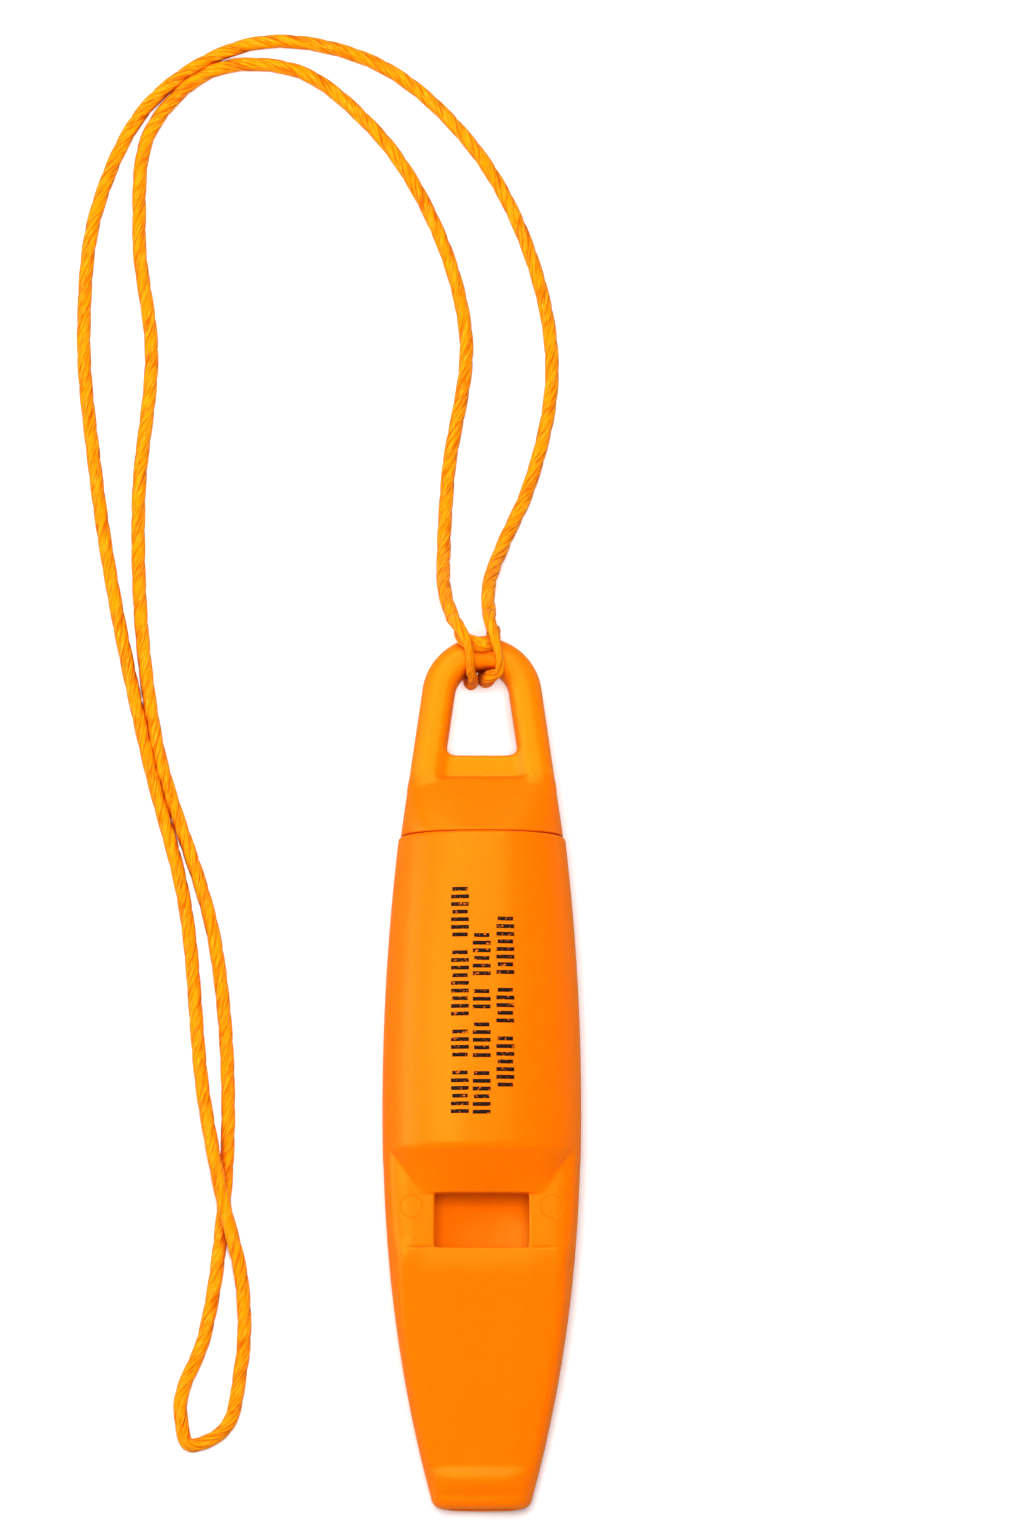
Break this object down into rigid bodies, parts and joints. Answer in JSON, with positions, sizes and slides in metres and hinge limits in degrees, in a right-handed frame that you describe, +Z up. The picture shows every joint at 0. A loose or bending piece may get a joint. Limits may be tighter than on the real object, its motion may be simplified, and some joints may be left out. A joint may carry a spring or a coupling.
{
  "type": "survival whistle",
  "caption": "Flat pealess hand whistle with a ramped sound window, wedge mouthpiece and lanyard eye, on a closed loop of twisted cord.",
  "frame": {"origin": "on the surface the whistle rests on, under the middle of the whistle without its cord", "axes": "+Y from the mouth end to the lanyard eye, +Z up out of the sound window, +X across to the right"},
  "size_m": [0.0541, 0.16, 0.014],
  "materials": {
    "plastic": "satin moulded",
    "cord": "twisted synthetic cord"
  },
  "bodies": {
    "root": {"whistle_body": "plastic", "end_cap": "plastic", "lanyard_hitch": "cord", "lanyard_cord": "cord"}
  },
  "joints": []
}
